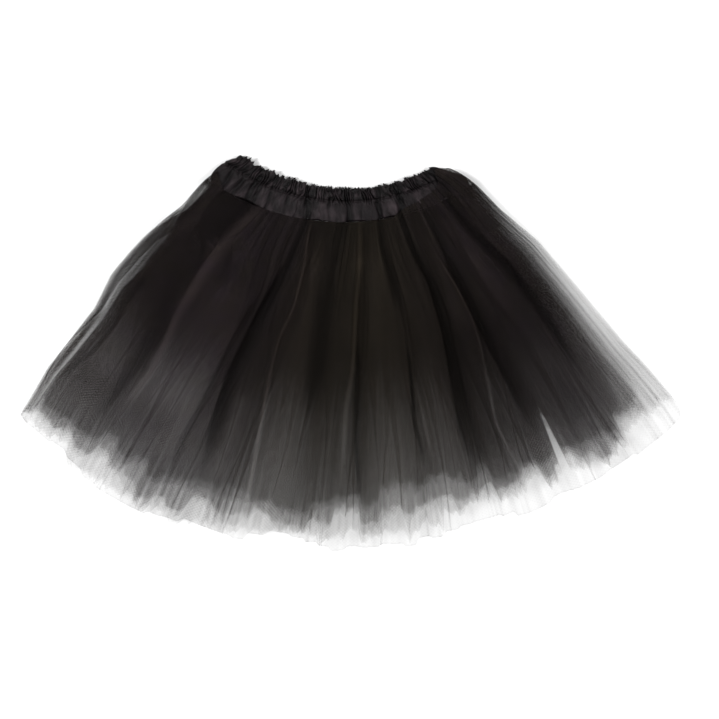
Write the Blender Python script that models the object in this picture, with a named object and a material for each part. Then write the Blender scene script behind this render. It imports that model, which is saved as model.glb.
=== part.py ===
"""Ballet tutu: a tulle skirt on a gathered satin waistband, laid flat with its front up.

The skirt lies on the XY plane with the waist towards +Y and the hem towards -Y. The origin is under
the middle of the whole garment. Sizes are in millimetres until a mesh is made from them.

Every layer is a tube that lies flat: a back run on the floor, a front run over it, and a round fold at
each side. The layers nest: waistband at the top, then tulle_outer, tulle_middle and tulle_inner below
its seam, with the short lining inside them. All runs are sampled at the same fold lines, so that
nested walls stay parallel and never touch.
"""

import math

import bmesh
import bpy

MM = 0.001

# Arcs of the flat layout: centre, radius, and the angles of the left and right ends in degrees,
# counted from straight down and positive to the right.
BAND_TOP = {"x": -4.1, "y": 387.9, "radius": 206.6, "left": -34.8, "right": 28.8}
SEAM = {"x": -7.4, "y": 414.4, "radius": 268.5, "left": -33.3, "right": 30.8}
HEM = {"x": -3.0, "y": 302.8, "radius": 521.6, "left": -44.4, "right": 45.3}

# How far the skirt's fold lines bow to the right of the straight lines between seam and hem.
BOW_LEFT = -5.5
BOW_RIGHT = 10.0
# How far each side stands out past its bowed fold line, by way down. It fades to nothing over
# BULGE_REACH of the hem from the side.
BULGE_COLUMNS = ("down", "left", "right")
BULGES = (
    (0.00, 0.0, 0.0),
    (0.05, 4.0, 4.0),
    (0.12, 8.0, 10.0),
    (0.20, 10.0, 11.5),
    (0.32, 11.0, 4.5),
    (0.43, 10.0, 1.5),
    (0.56, 8.0, 0.0),
    (0.70, 8.0, -3.0),
    (0.81, 5.5, -1.0),
    (0.93, 0.0, 0.5),
    (1.00, 0.0, 0.0),
)
BULGE_REACH = 0.16

# The folds of the skirt. Each row is a line from the waist seam to the hem, a valley or a ridge:
# its place along the hem and along the seam (0 left, 1 right), and how high the cloth stands
# above its flat stack at the seam and at the hem.
FOLD_COLUMNS = ("hem_place", "seam_place", "seam_rise", "hem_rise")
FOLDS = (
    (0.000, 0.000, 0.0, 0.0),
    (0.078, 0.070, 0.0, 0.5),
    (0.121, 0.204, 3.5, 6.0),
    (0.165, 0.250, 2.0, 4.5),
    (0.212, 0.300, 0.8, 1.5),
    (0.240, 0.345, 3.0, 6.5),
    (0.264, 0.384, 0.0, 0.5),
    (0.339, 0.430, 4.5, 9.0),
    (0.415, 0.523, 0.3, 2.0),
    (0.481, 0.571, 4.5, 8.5),
    (0.512, 0.600, 2.0, 1.5),
    (0.565, 0.628, 3.0, 7.0),
    (0.616, 0.652, 0.5, 2.5),
    (0.670, 0.700, 4.0, 8.0),
    (0.703, 0.735, 0.0, 0.5),
    (0.754, 0.780, 3.5, 8.0),
    (0.806, 0.824, 0.3, 1.0),
    (0.846, 0.850, 3.0, 7.5),
    (0.917, 0.883, 0.0, 0.8),
    (1.000, 1.000, 0.0, 0.0),
)

# The tubes below the seam, from the outside in. inset is how far the side fold lies inside the skirt's
# outline at the hem, front_short and back_short how far the two hems end above the hem arc, and step
# how unevenly they are cut.
LAYER_COLUMNS = ("name", "inset", "front_short", "back_short", "step")
LAYERS = (
    ("tulle_outer", 3.0, 14.0, 2.0, 4.0),
    ("tulle_middle", 22.0, 34.0, 26.0, 6.0),
    ("tulle_inner", 42.0, 54.0, 46.0, 7.0),
)
LINING_DEPTH = 58.0
LINING_LEVEL = len(LAYERS)
LEVELS = len(LAYERS) + 1

WALL = 1.0
# Height of one wall and the gap above it, at the seam and at the hem.
PITCH_SEAM = 1.35
PITCH_HEM = 1.65
# How much of the fold relief each back and front wall takes, from tulle_outer to the lining.
BACK_SHARE = (0.0, 0.35, 0.60, 0.70)
FRONT_SHARE = (1.0, 0.93, 0.85, 0.76)

STACK_AT_SEAM = (2 * LEVELS - 1) * PITCH_SEAM + WALL
SIDE_RAMP = 12.0
COVER_MARGIN = 3.5
STATION_STEP = 0.6
SEAM_GAP = 0.6
ROWS = 6
SIDE_ANGLES = (-45.0, 0.0, 45.0)

# The waistband: a casing round a flat elastic. The elastic fills its upper part, where the satin is
# crimped, and the lower part is smoother satin with a few deep folds.
BAND_HEIGHT = 38.0
BAND_GAP = 0.4
BAND_FLOOR_WALL = 4.6
BAND_STATIONS = 46
CRIMP_DEPTH = 1.1
CRIMP_EDGE = 1.2
# Rows from the top edge to the seam: place down the band, height of its front face, and how much of
# the crimps and of the folds shows there.
BAND_ROW_COLUMNS = ("place", "height", "crimp", "fold")
BAND_ROWS = (
    (0.00, 8.8, 0.6, 0.2),
    (0.18, 10.4, 1.0, 0.4),
    (0.40, 9.2, 0.8, 0.8),
    (0.70, 10.3, 0.2, 1.0),
    (1.00, 10.0, 0.1, 1.0),
)
# The deep folds of the satin: place along the seam, depth and half width, both in millimetres.
BAND_FOLD_COLUMNS = ("seam_place", "depth", "half_width")
BAND_FOLDS = (
    (0.10, 1.6, 7.0),
    (0.21, 1.8, 8.0),
    (0.387, 2.8, 8.0),
    (0.534, 2.6, 8.0),
    (0.645, 2.4, 7.0),
    (0.716, 2.8, 8.0),
    (0.84, 1.6, 7.0),
)

BLACK_TULLE = {"color": (0.012, 0.011, 0.012, 1.0), "roughness": 0.7, "metallic": 0.0}
BLACK_SATIN = {"color": (0.016, 0.014, 0.016, 1.0), "roughness": 0.4, "metallic": 0.0}


def mix(start, end, share):
    return start + (end - start) * share


def on_arc(arc, place):
    """The point on an arc at a place from 0 (left end) to 1 (right end)."""
    angle = math.radians(mix(arc["left"], arc["right"], place))
    return (arc["x"] + arc["radius"] * math.sin(angle), arc["y"] - arc["radius"] * math.cos(angle))


def read_off(table, index, value):
    """A column of a table, in a straight line between the two rows around a value of its first column."""
    for before, after in zip(table, table[1:]):
        if value <= after[0]:
            share = (value - before[0]) / (after[0] - before[0])
            return mix(before[index], after[index], share)
    return table[-1][index]


def between_folds(hem_place, column):
    return read_off(FOLDS, FOLD_COLUMNS.index(column), hem_place)


def eased(share):
    share = min(1.0, max(0.0, share))
    return share * share * (3 - 2 * share)


def bulge(hem_place, down):
    """How far a point is pushed to the right by the sides standing out."""
    left = read_off(BULGES, BULGE_COLUMNS.index("left"), down) * eased(1 - hem_place / BULGE_REACH)
    right = read_off(BULGES, BULGE_COLUMNS.index("right"), down) * eased(1 - (1 - hem_place) / BULGE_REACH)
    return right - left


def fan_point(hem_place, down):
    """The point of the flat skirt on one fold line, down from 0 at the seam to 1 at the hem arc."""
    top = on_arc(SEAM, between_folds(hem_place, "seam_place"))
    end = on_arc(HEM, hem_place)
    run = math.dist(top, end)
    bow = mix(BOW_LEFT, BOW_RIGHT, hem_place) * 4 * down * (1 - down) + bulge(hem_place, down)
    across = ((top[1] - end[1]) / run, (end[0] - top[0]) / run)
    return (mix(top[0], end[0], down) + across[0] * bow, mix(top[1], end[1], down) + across[1] * bow)


def line_length(hem_place):
    return math.dist(fan_point(hem_place, 0), fan_point(hem_place, 1))


def relief(hem_place, down):
    """How high the fold line stands above the flat stack."""
    at_seam = between_folds(hem_place, "seam_rise")
    at_hem = between_folds(hem_place, "hem_rise")
    return mix(at_seam, at_hem, down)


def pitch(down):
    return mix(PITCH_SEAM, PITCH_HEM, down)


def inset(level, down):
    """Distance of a layer's side fold from the skirt's outline. The lining's is that of tulle_inner."""
    row = LAYERS[min(level, LINING_LEVEL - 1)]
    return mix(STACK_AT_SEAM / 2, row[LAYER_COLUMNS.index("inset")], down)


def place_step(side, down):
    """Millimetres for each unit of hem place, next to the left (0) or right (1) outline."""
    probe = 0.01
    inner = probe if side == 0 else 1 - probe
    return math.dist(fan_point(side, down), fan_point(inner, down)) / probe


def cover(level, distance, down):
    """How fully a wall at this distance from the outline has risen over a layer inside it."""
    full_from = inset(level, down) - COVER_MARGIN
    return min(1.0, max(0.0, 1 - (full_from - distance) / SIDE_RAMP))


def back_height(level, hem_place, down):
    """Underside of a layer's back wall."""
    return level * pitch(down) + BACK_SHARE[level] * relief(hem_place, down)


def front_height(level, hem_place, distance, down):
    """Underside of a layer's front wall, over everything that lies inside the layer."""
    inside = sum(2 * cover(other, distance, down) for other in range(level + 1, LEVELS))
    flat = (level + 1 + inside) * pitch(down)
    return flat + FRONT_SHARE[level] * relief(hem_place, down)


def edge_distances(level, down):
    """Distances from the outline of a layer's side fold and of the steps over the layers inside it."""
    distances = [inset(level, down)]
    for other in range(level + 1, LINING_LEVEL):
        step = inset(other, down) - COVER_MARGIN
        distances.append(max(step, distances[-1] + STATION_STEP))
    return distances


def shared_places():
    """The fold lines between the two sides, and one line half way between each pair."""
    lines = [row[0] for row in FOLDS[1:-1]]
    halves = [(a + b) / 2 for a, b in zip(lines, lines[1:])]
    return sorted(lines + halves)


def stations(level, down):
    """The samples across a layer: hem place and distance from the nearer outline."""
    left = [(d / place_step(0, down), d) for d in edge_distances(level, down)]
    right = [(1 - d / place_step(1, down), d) for d in edge_distances(level, down)]
    middle = [(place, min(place * place_step(0, down), (1 - place) * place_step(1, down)))
              for place in shared_places()]
    return left + middle + right[::-1]


def hem_step(hem_place, level):
    """The unevenness of a cut edge, between -1 and 1."""
    slow = math.sin(31 * hem_place + 2.1 * level)
    quick = math.sin(83 * hem_place + 4.7 * level)
    return 0.6 * slow + 0.4 * quick


def hem_down(level, hem_place, short_column):
    """Where a fold line of a tulle layer ends, as a share of the way to the hem arc."""
    row = dict(zip(LAYER_COLUMNS, LAYERS[level]))
    short = row[short_column] + row["step"] * hem_step(hem_place, level)
    return 1 - short / line_length(hem_place)


def run_down(level, hem_place, row, short_column):
    """How far down row number row of a tulle layer lies: even rows, then the hem."""
    if row == ROWS:
        return hem_down(level, hem_place, short_column)
    return max(row / ROWS, SEAM_GAP / line_length(hem_place))


def side_fold(place, high, low, outwards):
    """Points of a round side fold, from the front wall down to the back wall."""
    radius = (high - low) / 2
    centre = (high + low) / 2
    points = []
    for degrees in SIDE_ANGLES:
        angle = math.radians(degrees)
        reach = radius * math.cos(angle)
        points.append((place[0] + outwards[0] * reach, place[1] + outwards[1] * reach,
                       centre - radius * math.sin(angle)))
    return points


def layer_ring(level, nominal_down, down_of):
    """One closed ring of a layer at a row: its outer face and its inner face.

    down_of gives the exact way down for a hem place on the front or the back run.
    """
    outer_front, inner_front, outer_back, inner_back = [], [], [], []
    for place, distance in stations(level, nominal_down):
        front_down = down_of(place, "front_short")
        back_down = down_of(place, "back_short")
        top = front_height(level, place, distance, front_down)
        base = back_height(level, place, back_down)
        front = fan_point(place, front_down)
        back = fan_point(place, back_down)
        outer_front.append((*front, top + WALL))
        inner_front.append((*front, top))
        outer_back.append((*back, base))
        inner_back.append((*back, base + WALL))
    return closed_ring(outer_front, outer_back), closed_ring(inner_front, inner_back)


def tulle_rings(level):
    rings = []
    for row in range(ROWS + 1):
        nominal = row / ROWS if row < ROWS else hem_down(level, 0.5, "back_short")

        def down_of(place, short_column, row=row):
            return run_down(level, place, row, short_column)

        rings.append(layer_ring(level, nominal, down_of))
    return rings


def lining_rings():
    rings = []
    for depth in (SEAM_GAP, LINING_DEPTH):
        def down_of(place, _short_column, depth=depth):
            return depth / line_length(place)

        rings.append(layer_ring(LINING_LEVEL, depth / line_length(0.5), down_of))
    return rings


def band_fold_depth(seam_place):
    """How deep the satin folds in at a place along the seam."""
    seam_length = SEAM["radius"] * math.radians(SEAM["right"] - SEAM["left"])
    depth = 0.0
    for place, deepest, half_width in BAND_FOLDS:
        away = abs(seam_place - place) * seam_length / half_width
        depth = max(depth, deepest * (1 - away))
    return depth


def band_line(place, down):
    """The point of the band at a place across it (0 left, 1 right) and down it (0 top, 1 seam)."""
    top = on_arc(BAND_TOP, place)
    seam = on_arc(SEAM, place)
    return (mix(top[0], seam[0], down), mix(top[1], seam[1], down))


def band_ring(row):
    """One ring of the waistband: crimped and folded outside, a thin flat slit inside."""
    values = dict(zip(BAND_ROW_COLUMNS, row))
    down = values["place"]
    end_share = values["height"] / 2 / math.dist(band_line(0, down), band_line(1, down))
    front, back, slit_front, slit_back = [], [], [], []
    for number in range(BAND_STATIONS + 1):
        place = mix(end_share, 1 - end_share, number / BAND_STATIONS)
        crimp = values["crimp"] if number % 2 else 0.0
        scallop = crimp * CRIMP_EDGE * (1 - down) / BAND_HEIGHT
        point = band_line(place, down + scallop)
        inner_point = band_line(place, down)
        dent = crimp * CRIMP_DEPTH + values["fold"] * band_fold_depth(place)
        front.append((*point, values["height"] - dent))
        back.append((*point, 0.0))
        slit_front.append((*inner_point, BAND_FLOOR_WALL + BAND_GAP))
        slit_back.append((*inner_point, BAND_FLOOR_WALL))
    return closed_ring(front, back), closed_ring(slit_front, slit_back)


def closed_ring(front, back):
    """A flat loop: the front run, the right side fold, the back run and the left side fold."""
    ends = []
    for last, before, under in ((front[-1], front[-2], back[-1]), (front[0], front[1], back[0])):
        run = math.dist(last[:2], before[:2])
        outwards = ((last[0] - before[0]) / run, (last[1] - before[1]) / run)
        middle = ((last[0] + under[0]) / 2, (last[1] + under[1]) / 2)
        ends.append(side_fold(middle, last[2], under[2], outwards))
    return front + ends[0] + back[::-1] + ends[1][::-1]


def tube_mesh(name, rings):
    """A closed wall from rings of its outer and inner face, first row to last."""
    mesh = bpy.data.meshes.new(name)
    built = bmesh.new()
    outer = [[built.verts.new([c * MM for c in p]) for p in ring[0]] for ring in rings]
    inner = [[built.verts.new([c * MM for c in p]) for p in ring[1]] for ring in rings]
    for rows in (outer, inner):
        for upper, lower in zip(rows, rows[1:]):
            bridge(built, upper, lower)
    bridge(built, outer[0], inner[0])
    bridge(built, outer[-1], inner[-1])
    bmesh.ops.recalc_face_normals(built, faces=built.faces)
    built.to_mesh(mesh)
    built.free()
    return mesh


def bridge(built, upper, lower):
    """Faces between two closed rings of the same number of points, split the same way everywhere."""
    count = len(upper)
    for index in range(count):
        after = (index + 1) % count
        built.faces.new((upper[index], upper[after], lower[after]))
        built.faces.new((upper[index], lower[after], lower[index]))


def material(name, look):
    made = bpy.data.materials.new(name)
    made.use_nodes = True
    shader = made.node_tree.nodes["Principled BSDF"]
    shader.inputs["Base Color"].default_value = look["color"]
    shader.inputs["Roughness"].default_value = look["roughness"]
    shader.inputs["Metallic"].default_value = look["metallic"]
    return made


def add_piece(name, rings, finish):
    piece = bpy.data.objects.new(name, tube_mesh(name, rings))
    piece.data.materials.append(finish)
    bpy.context.scene.collection.objects.link(piece)
    return piece


def main():
    for old in list(bpy.data.objects):
        bpy.data.objects.remove(old)
    add_piece("waistband", [band_ring(row) for row in BAND_ROWS], material("waistband_satin", BLACK_SATIN))
    for level, row in enumerate(LAYERS):
        name = row[LAYER_COLUMNS.index("name")]
        add_piece(name, tulle_rings(level), material(f"{name}_net", BLACK_TULLE))
    add_piece("lining", lining_rings(), material("lining_satin", BLACK_SATIN))


main()
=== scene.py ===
"""Looks of the ballet tutu: net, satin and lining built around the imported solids."""
import math
from types import SimpleNamespace

import bpy
import numpy as np
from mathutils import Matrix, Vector


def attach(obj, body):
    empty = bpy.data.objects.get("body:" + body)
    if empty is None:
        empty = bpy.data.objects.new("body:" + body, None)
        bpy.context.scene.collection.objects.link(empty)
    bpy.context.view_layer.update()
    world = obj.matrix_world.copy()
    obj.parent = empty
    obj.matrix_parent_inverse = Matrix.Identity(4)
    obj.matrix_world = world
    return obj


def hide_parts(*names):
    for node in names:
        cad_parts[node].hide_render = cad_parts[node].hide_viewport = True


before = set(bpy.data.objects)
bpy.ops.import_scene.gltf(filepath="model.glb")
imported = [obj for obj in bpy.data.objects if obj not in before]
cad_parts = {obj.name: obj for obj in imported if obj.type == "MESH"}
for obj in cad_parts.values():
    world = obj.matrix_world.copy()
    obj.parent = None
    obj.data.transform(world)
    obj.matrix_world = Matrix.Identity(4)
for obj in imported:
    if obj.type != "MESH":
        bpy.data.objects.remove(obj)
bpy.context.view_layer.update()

MM = 0.001

# ---------------- layout, as in the solids
# Lengths are in millimetres unless a comment says otherwise. A place runs from 0 at the left to 1 at the
# right, and a way from 0 at the seam line to 1 at the hem arc.
# arcs: centre, radius, and angles of the left and right end in degrees
BAND_TOP = (-4.1, 387.9, 206.6, -34.8, 28.8)
SEAM = (-7.4, 414.4, 268.5, -33.3, 30.8)
HEM = (-3, 302.8, 521.6, -44.4, 45.3)
HEM_RUN = 815
# how far the fold lines bow sideways half way down, at the left and right side
BOW_LEFT = -5.5
BOW_RIGHT = 10
# places where the fold lines cross the hem and the seam
FOLDS = (
    (0, 0), (0.078, 0.07), (0.121, 0.204), (0.165, 0.25), (0.212, 0.3), (0.24, 0.345), (0.264, 0.384),
    (0.339, 0.43), (0.415, 0.523), (0.481, 0.571), (0.512, 0.6), (0.565, 0.628), (0.616, 0.652), (0.67, 0.7),
    (0.703, 0.735), (0.754, 0.78), (0.806, 0.824), (0.846, 0.85), (0.917, 0.883), (1, 1),
)

# ---------------- net layers
COLUMNS = 1900
ROWS = 51
# how much closer together the rows lie near the hem; 1 is even
ROW_CROWDING = 1.3
CUT_WIDTH = 2200
STEP = CUT_WIDTH / COLUMNS
# for each net, how much of the insets, fingers, ragged edge and creases it takes, its columns in the table of
# hems, how much higher its back ends, and the heights of its back and front
LAYER_COLUMNS = ("name", "seed", "outer", "left_inset", "right_inset", "cut_length", "front_hem", "back_hem",
                 "fingers", "ragged", "back_short", "creased",
                 "seam_back", "seam_front", "hem_back", "hem_front", "least")
LAYERS = (
    ("outer", 11, 1, 0, 0, 350, "outer_front", "outer_back", 0.5, 0.8, 0, 1,
     0.3, 9.8, 0.3, 10.5, 0.15),
    ("middle", 23, 0, 0.9, 0.6, 320, "middle", "middle", 0.8, 1, 5, 0.9,
     1.6, 8.5, 1.7, 8.3, 0.4),
    ("inner", 37, 0, 1, 1, 300, "inner", "inner", 0, 1, 6, 0.8,
     2.9, 7.2, 3.1, 6.1, 0.65),
)
# how far a side fold stands above the tube's back, and over how much of the fan the front slopes up
SIDE_HEIGHT = 1.5
SIDE_SLOPE = 0.03
# over how much cloth a tube turns from front to back at its side folds
SIDE_TURN = 6
# how far the front lifts below the gathers, and where it lies over the band
FRONT_LIFT = 3
BAND_LIFT = 1.3
# how much of their height the folds keep as the net lies, on the front and the back
FRONT_FLATNESS = 0.12
BACK_FLATNESS = 0.07
# how far below the seam line the net starts
SEAM_GAP = 0.5
# how far in from the sides the inner net ends, by way, at the left and right
INSETS = (
    (0, 10, 2), (0.03, 10.5, 8), (0.05, 11, 11), (0.1, 9, 13), (0.15, 7, 14), (0.2, 15, 20), (0.25, 20, 23),
    (0.4, 22.5, 26), (0.6, 16, 29), (0.8, 15, 34), (1, 11, 42),
)
# how far the sides bow out past the fan's straight edges, by way, and over how much of the fan from each side
BULGES = (
    (-0.12, 0, 0), (-0.05, 2, 7), (0, 6.5, 8), (0.05, 6.5, 7), (0.12, 5.5, 4.5), (0.2, 11, 5.5),
    (0.28, 14, 7), (0.35, 15, 4.5), (0.44, 15, 2.5), (0.56, 5.5, 0), (0.7, 5, -2), (0.81, 6, 0),
    (0.93, 1.5, 1), (1, 0, 0),
)
EDGE_REACH = 0.16
# gaps in the outer net along the left side: way, distance from the side, half width and missing share
EDGE_GAPS = (
    (0, 6, 5, 0.25), (0.015, 6, 5.5, 0.7), (0.05, 6, 5.5, 0.7), (0.1, 5, 5, 0.68), (0.14, 5, 4, 0.55),
    (0.19, 16, 3, 0), (0.25, 18, 4, 0.12), (0.38, 18, 5, 0.05), (0.5, 16.5, 5, 0), (0.62, 14, 4, 0),
    (0.79, 12.5, 3, 0.15), (0.9, 10.5, 3, 0.3), (1, 8, 2.6, 0.3),
)
# how wide the net fades out along the left and right side, by way
EDGE_FADES = ((0, 2, 6), (0.1, 4, 14), (0.2, 7.5, 21), (0.4, 8, 25), (0.7, 4, 27), (1, 3, 30))
# the share of the outer net's density left at the right side, by way
EDGE_LEASTS = (
    (0, 0.9), (0.08, 0.7), (0.2, 0.4), (0.3, 0.3), (0.42, 0.25), (0.55, 0.25), (0.65, 0.35), (0.75, 0.5),
    (1, 0.65),
)
# the share left at the very edge, on the left, and on the right of the nets under the outer one
LEFT_RIM = 0.4
RIGHT_RIM = 0.2
# a denser strip along the left side: distance from it, half width, and what it adds high up and low down
STRIP_PLACE = 6
STRIP_HALF = 4.5
STRIP_HIGH = 0.3
STRIP_LOW = 1.6
# how far the outer net reaches up over the waistband, by place on the seam
COVERS = (
    (0, 15), (0.03, 9), (0.07, 0), (0.7, 0), (0.755, 7), (0.813, 10), (0.885, 15), (0.915, 20), (0.94, 31),
    (0.96, 37.5), (0.975, 37), (1, 31),
)
# how far each hem ends above the hem arc
HEM_COLUMNS = ("place", "inner", "middle", "outer_front", "outer_back")
HEMS = (
    (0, 36, 22, 12, 2), (0.045, 28, 20, 10, 3), (0.065, 34, 24, 16, 6), (0.1, 32, 12, -2, 1),
    (0.125, 48, 29, 2, -4), (0.15, 34, 20, 5, -8), (0.18, 44, 13, 3, -10), (0.203, 30, 4, -3, -11),
    (0.225, 36, 16, 6, -5), (0.245, 40, 8, 0, -4), (0.28, 46, 31, 8, 3), (0.32, 47, 20, 9, 3),
    (0.345, 46, 24, 16, 1), (0.362, 48, 35, 15, 8), (0.4, 42, 24, 22, 15), (0.425, 40, 24, 20, 12),
    (0.442, 50, 33, 19, 8), (0.46, 51, 27, 15, 5), (0.478, 58, 46, 16, 0), (0.503, 63, 46, 24, 4),
    (0.515, 50, 28, 18, 3), (0.53, 52, 30, 22, 4), (0.545, 66, 38, 24, 6), (0.562, 72, 46, 21, 5),
    (0.58, 70, 37, 20, 1), (0.6, 64, 45, 25, 8), (0.618, 72, 47, 20, 5), (0.64, 72, 50, 36, 10),
    (0.66, 64, 40, 31, 13), (0.68, 54, 42, 36, 14), (0.7, 66, 48, 38, 14), (0.72, 46, 36, 30, 11),
    (0.74, 43, 37, 30, 4), (0.77, 54, 48, 40, 4), (0.796, 47, 29, 25, 7), (0.808, 48, 38, 28, 6),
    (0.817, 98, 94, 80, 5), (0.826, 48, 40, 27, 4), (0.85, 43, 30, 23, 3), (0.882, 40, 15, 14, 4),
    (0.905, 34, 21, 17, 4), (0.922, 50, 42, 30, 0), (0.955, 84, 43, 28, 0), (0.98, 98, 80, 24, 0),
    (1, 100, 90, 20, -2),
)
# how far a hem may hang past the hem arc
HEM_DROP = 8
# over what length the frayed hems thin out
HEM_FADE = 3.5
# how much of the way from one row of a table to the next a hem takes to step over
HEM_STEP = 0.35
# how many steps the cloth of a hem has round the tube, and their spread
HEM_BLOCKS = 150
HEM_BLOCK_SPREAD = 3
# fingers of the hems: place, length and half width
FINGERS = (
    (0.14, 8, 1.8), (0.154, 9, 1.8), (0.177, 12, 1.8), (0.204, 14, 2.6), (0.222, 6, 1.8), (0.275, 8, 2.2),
    (0.292, 12, 1.8), (0.305, 8, 1.8), (0.318, 12, 2.2), (0.337, 9, 2.6), (0.397, 7, 3), (0.455, 12, 3.4),
    (0.488, 9, 2.6), (0.515, 9, 3), (0.527, 8, 2.6), (0.538, 9, 2.4), (0.58, 24, 2.2), (0.628, 18, 2.4),
    (0.655, 9, 3), (0.7, 7, 3), (0.715, 8, 2.6), (0.788, 10, 3), (0.8, 9, 2.4), (0.85, 12, 3),
    (0.876, 9, 2.6), (0.936, 9, 3), (0.956, 14, 2.6),
)
# creases of the front: how much paler the net is (below 0 darker), height (below 0 a valley), half widths at
# the top and the bottom on its left and on its right, and way and place of points along it. The paleness
# thins the net on crests and thickens it in valleys, and in the net's colour it is a painted highlight on the
# crests and broad panels and painted shade in the valleys.
CREASES = (
    (-0.4, -1.5, (3, 3), (1.6, 1.6), ((0.38, 0.06), (0.52, 0.049), (0.66, 0.044), (0.77, 0.03))),
    (-0.34, -4, (12, 4), (1.8, 1.8), ((-0.02, 0.113), (0.19, 0.102), (0.35, 0.104), (0.47, 0.11),
     (0.62, 0.108), (0.72, 0.104), (0.86, 0.097))),
    (-0.3, -3, (1.6, 1.6), (9, 8), ((0.3, 0.236), (0.41, 0.229), (0.64, 0.224), (0.77, 0.218),
     (0.88, 0.222))),
    (-0.6, -6, (1.8, 2.4), (7, 14), ((-0.02, 0.262), (0.14, 0.262), (0.3, 0.252), (0.5, 0.246), (0.65, 0.251),
     (0.8, 0.262))),
    (-0.5, -5, (8, 11), (8, 9), ((-0.02, 0.425), (0.03, 0.405), (0.16, 0.397), (0.29, 0.402), (0.45, 0.41),
     (0.56, 0.412))),
    (-0.45, -3, (1.6, 1.6), (2.6, 2.6), ((0.4, 0.494), (0.66, 0.497), (0.84, 0.508))),
    (-0.4, -4, (4, 8), (3, 5), ((-0.02, 0.615), (0.08, 0.603), (0.17, 0.617), (0.28, 0.622))),
    (-0.7, -2.5, (1.6, 1.6), (2.2, 2.2), ((0.42, 0.618), (0.51, 0.613), (0.62, 0.607), (0.73, 0.613))),
    (-0.6, -6, (2, 2.4), (5, 17), ((-0.02, 0.69), (0.1, 0.695), (0.22, 0.711), (0.39, 0.704), (0.53, 0.692),
     (0.67, 0.684), (0.78, 0.688))),
    (-0.5, -5, (3, 2.2), (9, 22), ((0.03, 0.794), (0.12, 0.794), (0.23, 0.782), (0.36, 0.782), (0.46, 0.786),
     (0.65, 0.79), (0.76, 0.797))),
    (-0.5, -5, (4, 5), (2.4, 3), ((-0.1, 0.958), (-0.03, 0.943), (0.02, 0.923), (0.19, 0.923), (0.43, 0.927),
     (0.59, 0.919), (0.68, 0.916))),
    (0.6, 4, (2, 1.8), (6, 5), ((0.02, 0.122), (0.09, 0.112), (0.19, 0.108), (0.32, 0.112), (0.43, 0.114),
     (0.51, 0.119), (0.62, 0.123), (0.75, 0.118))),
    (0.32, 3, (26, 32), (24, 30), ((0.28, 0.172), (0.72, 0.168))),
    (0.2, 1, (14, 18), (14, 18), ((0.38, 0.226), (0.84, 0.212))),
    (0.14, 1, (10, 12), (10, 12), ((0.58, 0.285), (0.84, 0.28))),
    (0.2, 2.5, (14, 22), (14, 22), ((0.42, 0.064), (0.72, 0.066))),
    (-0.26, 0.5, (30, 40), (30, 40), ((0.4, 0.74), (0.8, 0.74))),
    (-0.28, 0.5, (18, 30), (18, 24), ((0.4, 0.862), (0.84, 0.872))),
    (0.62, 4.5, (2.2, 2), (3, 2.6), ((0.04, 0.3), (0.13, 0.326), (0.27, 0.334), (0.37, 0.318), (0.47, 0.322),
     (0.66, 0.334), (0.9, 0.345))),
    (0.2, 4, (22, 24), (22, 24), ((0.1, 0.364), (0.92, 0.385))),
    (0.55, 5, (4.5, 2.6), (4.5, 2.6), ((0.02, 0.489), (0.13, 0.493), (0.24, 0.486), (0.44, 0.486),
     (0.56, 0.477), (0.75, 0.479))),
    (0.18, 4, (22, 26), (22, 26), ((0.1, 0.56), (0.92, 0.56))),
    (0.35, 2, (1.6, 1.6), (2, 2), ((0.5, 0.621), (0.72, 0.627))),
    (0.12, 3, (18, 22), (18, 22), ((0.45, 0.655), (0.9, 0.655))),
    (0.52, 4, (2.4, 2), (2, 1.8), ((0.16, 0.762), (0.27, 0.774), (0.37, 0.776), (0.46, 0.768), (0.53, 0.759),
     (0.69, 0.742), (0.84, 0.752))),
    (0.2, 3, (12, 12), (12, 14), ((0.15, 0.864), (0.41, 0.866), (0.52, 0.864), (0.66, 0.874))),
    (0.3, 0.3, (9, 9), (9, 9), ((0.115, 0.492), (0.145, 0.492))),
    (0.3, 0.3, (10, 10), (8, 8), ((0.06, 0.852), (0.12, 0.848))),
)
# fine lines that all layers share: distance between them at the hem, and how far they change the density in
# the middle, near the hem and at the sides
LINE_PITCH = 2
LINE_DEPTH = 0.03
HEM_LINE_DEPTH = 0.2
SIDE_LINE_DEPTH = 0.18
LINE_SEED = 71
# distances from the left and right side over which a point comes to be near it
SIDE_LEFT = (45, 10)
SIDE_RIGHT = (70, 25)
# how far the front hems follow those lines
HEM_COMB = 2.6
# groups of fine folds near the hem: place, half width and distance between folds, both as parts of the
# cloth's run, and strength
PACKETS = (
    (0.015, 0.02, 0.004, 1), (0.16, 0.03, 0.005, 1.1), (0.3, 0.034, 0.0042, 1.1), (0.38, 0.02, 0.006, 0.6),
    (0.45, 0.014, 0.0045, 0.9), (0.525, 0.024, 0.0036, 1.1), (0.59, 0.02, 0.0048, 0.8),
    (0.63, 0.016, 0.004, 1), (0.7, 0.03, 0.005, 0.8), (0.795, 0.018, 0.0045, 1), (0.87, 0.024, 0.006, 0.8),
    (0.945, 0.03, 0.005, 1), (0.985, 0.02, 0.004, 1.1),
)
# how much of the view one net sheet blocks, by way
NET_DENSITY = ((0, 0.5), (0.3, 0.43), (0.45, 0.365), (0.6, 0.3), (0.75, 0.26), (0.87, 0.23), (1, 0.21))
# the most that it may block, and what the outer net blocks where it lies over the band
MOST_DENSITY = 0.9
BAND_DENSITY = 1.1
# how much crests thin the net and valleys thicken it, and the palest crest that thins it further
CREST_THINNING = 0.75
VALLEY_THICKENING = 0.45
PALEST_CREST = 0.4
# how much denser the outer net's cut edge is
CUT_EDGE = 1.8
# how much the back of the outer net is thinned towards its hem
BACK_THINNING = 0.52
# how far the net is evened out where its folds lie thick, from 0 to 1, by what factors, in how many cells,
# and the least cover that counts
EVENING = 0.7
EVENING_LIMITS = (0.35, 1.6)
EVENING_CELLS = 280
LEAST_COVER = 0.2
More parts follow.
